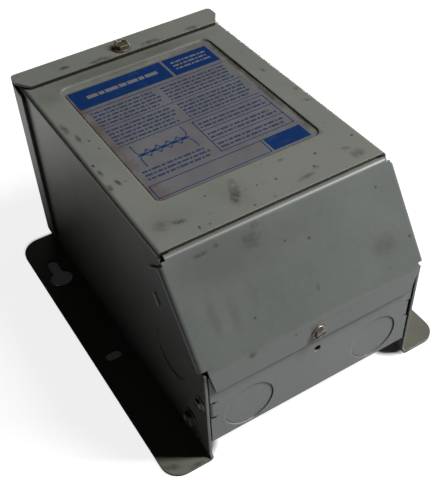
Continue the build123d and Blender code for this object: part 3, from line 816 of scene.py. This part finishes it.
COVER_MARKS = {
    "smudges": (
        ((-15.7, -56.5, 86.3), (6.0, 4.4, 4.4), 0, 0.48),
        ((-28.9, -54.8, 88.7), (1.5, 1.4, 1.4), 0, 0.9),
        ((-35.6, -55.1, 88.2), (4.2, 1.1, 1.1), 0, 0.65),
        ((-12.4, -54.1, 89.6), (2.2, 2.0, 2.0), 0, 0.6),
        ((3.7, -72.6, 64.1), (1.2, 1.6, 2.0), 0, 0.7),
        ((36.6, -70.8, 66.6), (7.0, 5.0, 6.0), 0, 0.25),
        ((-29.9, -79.6, 54.3), (2.4, 2.0, 2.6), 0, 0.9),
    ),
    "dots_and_slit_shade": (
        ((6.7, -61.8, 79.1), (1.2, 0.9, 0.9), 0, 0.8),
        ((-2.9, -60.1, 81.4), (0.8, 0.7, 0.7), 0, 0.8),
        ((40.3, -57.7, 84.6), (0.9, 0.8, 0.8), 0, 0.9),
        ((48.4, -71.5, 65.7), (0.9, 0.9, 0.9), 0, 0.9),
        ((-24.2, -72.5, 64.2), (0.8, 0.8, 0.8), 0, 0.8),
        ((-10.7, -79.6, 52.9), (0.8, 0.8, 0.8), 0, 0.8),
    ),
    "hazes_and_shadows": (
        ((-26.0, -57.5, 85.0), (34.0, 14.0, 16.0), 0, 0.28),
        ((-2.0, -58.0, 84.0), (16.0, 9.0, 10.0), 0, 0.16),
        ((-39.0, -68.0, 70.0), (3.0, 12.0, 16.0), 0, 0.2),
        ((-31.0, -69.0, 69.0), (3.4, 10.0, 13.0), 0, 0.18),
        ((-22.0, -67.0, 72.0), (2.6, 9.0, 12.0), 0, 0.14),
        ((37.0, -70.8, 66.6), (11.0, 8.0, 9.0), 0, 0.14),
    ),
    "dulls": (
        ((0, -79.4, 54.2), (80, 2.4, 2.4), 0, 0.7),
        ((0, -52.2, 91.2), (80, 2.4, 2.4), 0, 0.5),
    ),
    # Painted light: the lip below its fold painted paler
    "painted_light_band": (55.0, 53.6, 0.6),
    "soil_share": 0.25,
}
TRAY_MARKS = {
    # Painted shade: dark spots over the slits at each end of the near wall, where the tabs are cut
    "dots_and_slit_shade": (
        ((-47.0, -78.2, 35.1), (3.4, 3.0, 1.05), 0, 1.0),
        ((-47.0, -78.2, 25.9), (3.4, 3.0, 1.05), 0, 1.0),
        ((47.0, -78.2, 35.1), (2.6, 3.0, 0.6), 0, 0.6),
        ((47.0, -78.2, 25.9), (2.6, 3.0, 0.6), 0, 0.6),
    ),
    # Painted shadow on the near wall under the cover's lip
    "hazes_and_shadows": (
        ((0, -78.2, LIP_LOW / MM - 1.0), (60.0, 3.0, 3.0), 0, 0.85),
        ((26, -78.2, LIP_LOW / MM - 1.4), (40.0, 3.0, 2.2), 0, 0.95),
    ),
    "dulls": (((0, -78.2, 52.0), (80, 2.0, 2.0), 0, 0.5),),
    # Painted highlights on the lit side of the knockouts' rims, and painted glints on their ties
    "lit_rims": (((-30.5, -78.2, 22.7), 0.75), ((30.5, -78.2, 22.7), 0.45)),
    "ties": (
        ((-29.4, -78.2, 33.6), (1.8, 2.0, 0.9), 0, 1.0),
        ((-29.9, -78.2, 11.8), (2.6, 2.0, 0.7), 0, 1.0),
        ((31.0, -78.2, 33.6), (1.6, 2.0, 0.8), 0, 0.6),
        ((28.0, -78.2, 12.0), (2.0, 2.0, 0.7), 0, 0.7),
    ),
    "soil_share": 0.2,
}


class TRANSFORMER_OT_enamel(bpy.types.Operator):
    """Paint the bent sheet steel"""
    bl_idname = "transformer.enamel"
    bl_label = "Enamel"

    def execute(self, context):
        settings = context.scene.transformer_looks.enamel
        case = enamel("baked_enamel_case", settings.case, settings, CASE_MARKS)
        cover = enamel("baked_enamel_cover", settings.cover, settings, COVER_MARKS)
        tray = enamel("baked_enamel_tray", settings.tray, settings, TRAY_MARKS)
        dress("case_wrap", case)
        dress("end_cap", case)
        dress("wiring_cover", cover)
        dress("back_tray", tray)
        for side in ("left", "right"):
            dress(f"{side}_side_knockout", case)
            dress(f"{side}_bottom_knockout", tray)
        return {"FINISHED"}


class TRANSFORMER_OT_core(bpy.types.Operator):
    """Finish the cast core block"""
    bl_idname = "transformer.core"
    bl_label = "Core block"

    def execute(self, context):
        dress("core_block", potting_compound(context.scene.transformer_looks.potting))
        return {"FINISHED"}


# Rating plate

# Printed blocks, frames and rules, in mm from the plate's near left corner: left, right, near, far
BLOCKS = (
    (0.8, 45.8, 68.8, 82.8),
    (47.0, 69.6, 68.8, 82.8),
    (52.2, 69.6, 1.0, 9.4),
)
FRAMES = (
    (1.0, 51.2, 1.0, 9.4),
    (34.8, 69.2, 12.0, 35.2),
)
RULES = (
    (2.4, 69.2, 66.2),
    (2.4, 69.2, 51.6),
    (2.4, 69.2, 37.0),
    (34.8, 69.2, 27.4),
    (34.8, 69.2, 19.6),
)
# Rows of short bars: left, right, nearest row, number of rows
ROWS = (
    (3.0, 34.0, 38.8, 5),
    (36.2, 68.4, 38.8, 5),
    (3.0, 34.0, 53.4, 5),
    (36.2, 68.4, 53.4, 5),
    (36.2, 68.4, 13.9, 2),
    (36.2, 68.4, 21.5, 2),
    (36.2, 68.4, 29.3, 2),
    (3.0, 32.0, 12.4, 3),
)
# Pale rows on the blue blocks: left, right, near, height
PALE_ROWS = (
    (7.2, 43.4, 74.8, 2.4),
    (49.6, 67.4, 78.2, 1.15),
    (49.6, 67.4, 75.5, 1.15),
    (49.6, 67.4, 72.8, 1.15),
)
BAR_LENGTHS = (3.2, 1.1, 2.2, 0.8, 3.6, 1.7, 2.8, 1.0, 1.9)
PALE_BAR_LENGTHS = (6.0, 3.5, 5.0, 2.5)
# Two windings that face each other: left end, height of the middle, turns, radius, and how far apart
COIL = (6.4, 27.8, 5, 1.9, 5.2)


def rounded_sheet(low, high, corner):
    """A flat upright box between two corners, its upright edges rounded, in metres."""
    shape = bmesh.new()
    size = Matrix.Diagonal((*(high - low), 1))
    bmesh.ops.create_cube(shape, size=1, matrix=Matrix.Translation((low + high) / 2) @ size)
    upright = [edge for edge in shape.edges if edge.verts[0].co.xy == edge.verts[1].co.xy]
    bmesh.ops.bevel(
        shape, geom=upright, offset=corner, offset_type="OFFSET", segments=6, profile=0.5,
        affect="EDGES", material=-1,
    )
    return shape


def bar(shape, left, right, near, far, low, high):
    """A flat block of ink between the given sides, in mm."""
    middle = Vector((left + right, near + far, low + high)) / 2
    size = Vector((right - left, far - near, high - low))
    bmesh.ops.create_cube(shape, size=1, matrix=Matrix.Translation(middle) @ Matrix.Diagonal((*size, 1)))


def bar_row(shape, left, right, near, height, lengths, first, gap, low, high):
    """A row of bars like words, from left to right, taking the lengths in turn from the first on, in mm."""
    at = left
    turn = first
    while at + lengths[turn % len(lengths)] <= right:
        end = at + lengths[turn % len(lengths)]
        bar(shape, at, end, near, near + height, low, high)
        at = end + gap
        turn += 1


def half_ring(shape, centre, radius, width, height, start):
    """Half a turn of a printed winding, in mm."""
    across = Matrix.Rotation(start, 4, "Z")
    corners = ((radius, 0), (radius + width, 0), (radius + width, height), (radius, height))
    verts = [shape.verts.new(centre + across @ Vector((x, 0, z))) for x, z in corners]
    section = shape.faces.new(verts)
    bmesh.ops.spin(
        shape, geom=[*verts, *section.edges, section], cent=centre, axis=(0, 0, 1), angle=math.pi, steps=10,
    )


class TRANSFORMER_OT_plate(bpy.types.Operator):
    """Finish the rating plate and print it"""
    bl_idname = "transformer.plate"
    bl_label = "Rating plate"

    def execute(self, context):
        settings = context.scene.transformer_looks.plate
        low = PLATE_LOW - Vector((settings.left_reach, settings.near_reach, 0)) * MM
        sheet = rounded_sheet(low, PLATE_HIGH, settings.corner * MM)
        plate = new_piece("rating_plate_sheet", sheet, plate_lacquer(settings, low.x))
        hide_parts("rating_plate")
        thick = settings.ink_height
        line = settings.line_width
        blue = bmesh.new()
        fine = bmesh.new()
        for left, right, near, far in BLOCKS:
            bar(blue, left, right, near, far, 0, thick)
        for left, right, near, far in FRAMES:
            bar(blue, left, right, near, near + line, 0, thick)
            bar(blue, left, right, far - line, far, 0, thick)
            bar(blue, left, left + line, near, far, 0, thick)
            bar(blue, right - line, right, near, far, 0, thick)
        for left, right, near in RULES:
            bar(blue, left, right, near, near + line, 0, thick)
        turn = 0
        for left, right, near, count in ROWS:
            for row in range(count):
                at = near + row * settings.row_pitch
                bar_row(
                    fine, left, right, at, settings.row_height,
                    BAR_LENGTHS, turn, settings.word_gap, 0, thick,
                )
                turn += 2
        left, middle, turns, radius, apart = COIL
        for side in (-1, 1):
            at = middle + side * apart / 2
            for number in range(turns):
                centre = Vector((left + (2 * number + 1) * (radius + line), at, 0))
                half_ring(blue, centre, radius, line, thick, math.pi if side > 0 else 0)
            width = 2 * turns * (radius + line)
            for end in (left, left + width):
                bar(blue, end, end + line, min(at, at + side * apart), max(at, at + side * apart), 0, thick)
        bar(blue, left, left + width, middle - line, middle + line, 0, thick)
        bmesh.ops.holes_fill(blue, edges=[edge for edge in blue.edges if edge.is_boundary], sides=4)
        pale = bmesh.new()
        for left, right, near, height in PALE_ROWS:
            lengths = PALE_BAR_LENGTHS if height > 2 * settings.row_height else BAR_LENGTHS
            bar_row(pale, left, right, near, height, lengths, turn, settings.word_gap, thick / 2, 2 * thick)
            turn += 1

        corner = Vector((low.x, low.y, PLATE_HIGH.z))
        onto_plate = Matrix.Translation(corner) @ Matrix.Scale(MM, 4)
        for name, shape, ink, tone in (
            ("plate_print", blue, "screen_printed_blue", settings.ink),
            ("plate_print_rows", fine, "screen_printed_fine_blue", settings.fine_ink),
            ("plate_print_pale", pale, "screen_printed_pale", settings.ground),
        ):
            bmesh.ops.transform(shape, matrix=onto_plate, verts=shape.verts)
            new_piece(name, shape, plate_ink(ink, tone, settings))
        return {"FINISHED"}


# Screws

# Sizes as shares of the large screw's, and how metallic each plating is
LARGE_SHARE = 1.0
SMALL_SHARE = 0.75
BRIGHT_METAL_SHARE = 0.85
AGED_METAL_SHARE = 0.3
# Each screw's node, the way its head faces, its share of the large one's size, its turn in degrees,
# whether it has a driver slot, and the plating
SCREWS = (
    ("end_cap_screw", (0, 0, 1), LARGE_SHARE, 0, False, "aged_zinc"),
    ("cover_screw", (0, -1, 0), SMALL_SHARE, 15, True, "zinc"),
    ("left_tab_screw", (-1, 0, 0), SMALL_SHARE, 0, True, "zinc"),
    ("right_tab_screw", (1, 0, 0), SMALL_SHARE, 0, True, "zinc"),
    ("left_foot_screw", (-1, 0, 0), LARGE_SHARE, 0, False, "aged_zinc"),
    ("right_foot_screw", (1, 0, 0), LARGE_SHARE, 0, False, "aged_zinc"),
)


# A hexagon's turn about its own axis
HEXAGON_TURN = math.radians(30)
# The washer's rounded rim, as shares of its radius and its thickness, and how much of the shank is straight
RIM_SHARES = ((0.97, 0), (1, 0.2), (1, 0.45), (0.97, 0.78), (0.9, 0.96), (0.84, 1))
STRAIGHT_SHARE = 0.75
WASHER_STEPS = 48


def hexagon(flats, low, high, crown):
    """A hexagon prism between two heights, its top edges rounded by the crown, in mm."""
    shape = bmesh.new()
    corner = flats / math.sqrt(3)
    place = Matrix.Translation((0, 0, (low + high) / 2)) @ Matrix.Rotation(HEXAGON_TURN, 4, "Z")
    bmesh.ops.create_cone(
        shape, cap_ends=True, segments=6, radius1=corner, radius2=corner, depth=high - low, matrix=place,
    )
    top = max(shape.faces, key=lambda face: face.calc_center_median().z)
    bmesh.ops.bevel(
        shape, geom=top.edges, offset=crown, offset_type="OFFSET", segments=3, profile=0.5,
        affect="EDGES", material=-1,
    )
    return shape


def join(shape, other):
    """Moves a second bmesh into the first."""
    held = bpy.data.meshes.new("held")
    other.to_mesh(held)
    other.free()
    shape.from_mesh(held)
    bpy.data.meshes.remove(held)


def washer_and_shank(settings):
    """The pressed washer with its rounded rim, and the shank under it, spun from one half section."""
    shape = bmesh.new()
    rim = settings.washer_radius
    thick = settings.washer_thickness
    shank = settings.shank_radius
    deep = settings.shank_length
    section = [(shank / 2, -deep), (shank, -STRAIGHT_SHARE * deep), (shank, 0)]
    section += [(out * rim, up * thick) for out, up in RIM_SHARES]
    section.append((shank / 2, thick))
    verts = [shape.verts.new((x, 0, z)) for x, z in section]
    edges = [shape.edges.new(pair) for pair in zip(verts, verts[1:])]
    bmesh.ops.spin(
        shape, geom=[*verts, *edges], cent=(0, 0, 0), axis=(0, 0, 1), angle=math.tau, steps=WASHER_STEPS,
        use_merge=True,
    )
    open_edges = [edge for edge in shape.edges if edge.is_boundary]
    bmesh.ops.holes_fill(shape, edges=open_edges, sides=WASHER_STEPS)
    for face in shape.faces:
        face.smooth = True
    return shape


def screw_shape(settings, slotted):
    """A hexagon washer-head screw along +Z, seated at zero, in mm."""
    shape = washer_and_shank(settings)
    low = settings.washer_thickness / 2
    high = settings.washer_thickness + settings.hexagon_height
    if not slotted:
        head = hexagon(settings.flats, low, high, settings.crown)
        top = max(head.faces, key=lambda face: face.calc_center_median().z)
        bmesh.ops.inset_region(head, faces=[top], thickness=2 * settings.dish, depth=0)
        bmesh.ops.inset_region(head, faces=[top], thickness=settings.dish, depth=-settings.dish)
        join(shape, head)
        return shape
    slot_floor = high - settings.slot_depth
    join(shape, hexagon(settings.flats, low, slot_floor, settings.crown / 4))
    half = hexagon(settings.flats, slot_floor - settings.crown / 2, high, settings.crown)
    cut = bmesh.ops.bisect_plane(
        half, geom=[*half.verts, *half.edges, *half.faces],
        plane_co=(0, settings.slot_width / 2, 0), plane_no=(0, 1, 0), clear_inner=True,
    )
    cut_edges = [item for item in cut["geom_cut"] if isinstance(item, bmesh.types.BMEdge)]
    bmesh.ops.edgeloop_fill(half, edges=cut_edges)
    bmesh.ops.mirror(half, geom=[*half.verts, *half.edges, *half.faces], axis="Y", merge_dist=-1)
    join(shape, half)
    return shape


class TRANSFORMER_OT_screws(bpy.types.Operator):
    """Model and plate the screws"""
    bl_idname = "transformer.screws"
    bl_label = "Screws"

    def execute(self, context):
        settings = context.scene.transformer_looks.screws
        plating = {
            "zinc": zinc(
                "bright_zinc_plate", settings.bright, settings.bright_tarnish, BRIGHT_METAL_SHARE, settings,
            ),
            "aged_zinc": zinc(
                "aged_zinc_plate", settings.aged, settings.aged_tarnish, AGED_METAL_SHARE, settings,
            ),
        }
        head = settings.washer_thickness + settings.hexagon_height
        for name, facing, share, turn, slotted, slot in SCREWS:
            facing = Vector(facing)
            low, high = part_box(name)
            middle = (low + high) / 2
            reach = (high - low) / 2
            outmost = middle + Vector(a * b for a, b in zip(reach, facing))
            seat = outmost - facing * head * share * MM
            stand = facing.to_track_quat("Z", "Y").to_matrix().to_4x4()
            if facing.z:
                stand = Matrix.Identity(4)
            place = Matrix.Translation(seat) @ stand @ Matrix.Rotation(math.radians(turn), 4, "Z")
            shape = screw_shape(settings, slotted)
            bmesh.ops.transform(shape, matrix=place @ Matrix.Scale(share * MM, 4), verts=shape.verts)
            piece = new_piece(name + "_head", shape, plating[slot])
            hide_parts(name)
        return {"FINISHED"}


# Studio

# Half the width of the floor, in metres
FLOOR_REACH = 4.0


def lamp(name, place, target, width, tall, power):
    """An upright area lamp at place, facing target, in metres."""
    data = bpy.data.lights.new(name, "AREA")
    data.shape = "RECTANGLE"
    data.size = width
    data.size_y = tall
    data.energy = power
    made = bpy.data.objects.new(name, data)
    made.location = place
    made.rotation_euler = (Vector(target) - Vector(place)).to_track_quat("-Z", "Y").to_euler()
    bpy.context.scene.collection.objects.link(made)


def from_bearing(bearing, height, distance):
    """A place at a bearing from +X towards +Y and a height above the floor, both in radians."""
    level = math.cos(height)
    return Vector((math.cos(bearing) * level, math.sin(bearing) * level, math.sin(height))) * distance


class TRANSFORMER_OT_stage(bpy.types.Operator):
    """Set up the floor, the light and the camera"""
    bl_idname = "transformer.stage"
    bl_label = "Stage"

    def execute(self, context):
        settings = context.scene.transformer_looks.stage
        scene = context.scene
        shape = bmesh.new()
        bmesh.ops.create_grid(shape, x_segments=1, y_segments=1, size=FLOOR_REACH)
        mesh = bpy.data.meshes.new("floor")
        shape.to_mesh(mesh)
        shape.free()
        floor = bpy.data.objects.new("floor", mesh)
        mesh.materials.append(floor_material(settings))
        scene.collection.objects.link(floor)

        middle = (CAD_BOX[0] + CAD_BOX[1]) / 2
        key = from_bearing(settings.key_bearing, settings.key_height, settings.key_distance)
        lamp("key", key, middle, settings.key_width, settings.key_tall, settings.key_strength)
        back = from_bearing(settings.back_bearing, settings.back_height, settings.key_distance)
        lamp("back", back, middle, settings.key_tall, settings.key_width / 2, settings.back_strength)

        world = bpy.data.worlds.new("room")
        scene.world = world
        world.use_nodes = True
        tree = world.node_tree
        tree.nodes.clear()
        seen = node(tree, "LightPath", out="Is Camera Ray")
        strength = node(tree, "MapRange", {"Value": seen, 3: settings.room, 4: 1.0})
        light = node(tree, "Background", {"Color": (1, 1, 1, 1), "Strength": strength})
        node(tree, "OutputWorld", {"Surface": light})

        data = bpy.data.cameras.new("camera")
        data.sensor_fit = "HORIZONTAL"
        data.sensor_width = SENSOR_WIDTH
        data.lens = FOCAL_PIXELS * SENSOR_WIDTH / FRAME_WIDTH
        data.shift_x = (FRAME_WIDTH / 2 - CENTRE_PIXEL[0]) / FRAME_WIDTH
        data.shift_y = (CENTRE_PIXEL[1] - FRAME_HEIGHT / 2) / FRAME_WIDTH
        camera = bpy.data.objects.new("camera", data)
        camera.location = settings.camera_place
        camera.rotation_euler = settings.camera_turn
        scene.collection.objects.link(camera)
        scene.camera = camera
        scene.view_settings.view_transform = "Standard"
        return {"FINISHED"}


OPERATORS = (
    TRANSFORMER_OT_enamel,
    TRANSFORMER_OT_core,
    TRANSFORMER_OT_plate,
    TRANSFORMER_OT_screws,
    TRANSFORMER_OT_stage,
)


class TRANSFORMER_PT_looks(bpy.types.Panel):
    """Lists the steps that dress the transformer"""
    bl_label = "Transformer"
    bl_idname = "TRANSFORMER_PT_looks"
    bl_space_type = "VIEW_3D"
    bl_region_type = "UI"
    bl_category = "Transformer"

    def draw(self, context):
        looks = context.scene.transformer_looks
        for group in (looks.enamel, looks.potting, looks.plate, looks.screws, looks.stage):
            box = self.layout.box()
            for name in group.__annotations__:
                box.prop(group, name)
        for step in OPERATORS:
            self.layout.operator(step.bl_idname)


CLASSES = (
    EnamelSettings,
    PottingSettings,
    PlateSettings,
    ScrewSettings,
    StageSettings,
    TransformerLooks,
    *OPERATORS,
    TRANSFORMER_PT_looks,
)


def register():
    """Makes the steps, the settings and the panel known."""
    for kind in CLASSES:
        bpy.utils.register_class(kind)
    bpy.types.Scene.transformer_looks = PointerProperty(type=TransformerLooks)


def unregister():
    """Takes them away again."""
    del bpy.types.Scene.transformer_looks
    for kind in reversed(CLASSES):
        bpy.utils.unregister_class(kind)


def main():
    """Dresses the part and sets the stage."""
    register()
    bpy.ops.transformer.enamel()
    bpy.ops.transformer.core()
    bpy.ops.transformer.plate()
    bpy.ops.transformer.screws()
    bpy.ops.transformer.stage()


if __name__ == "__main__":
    main()
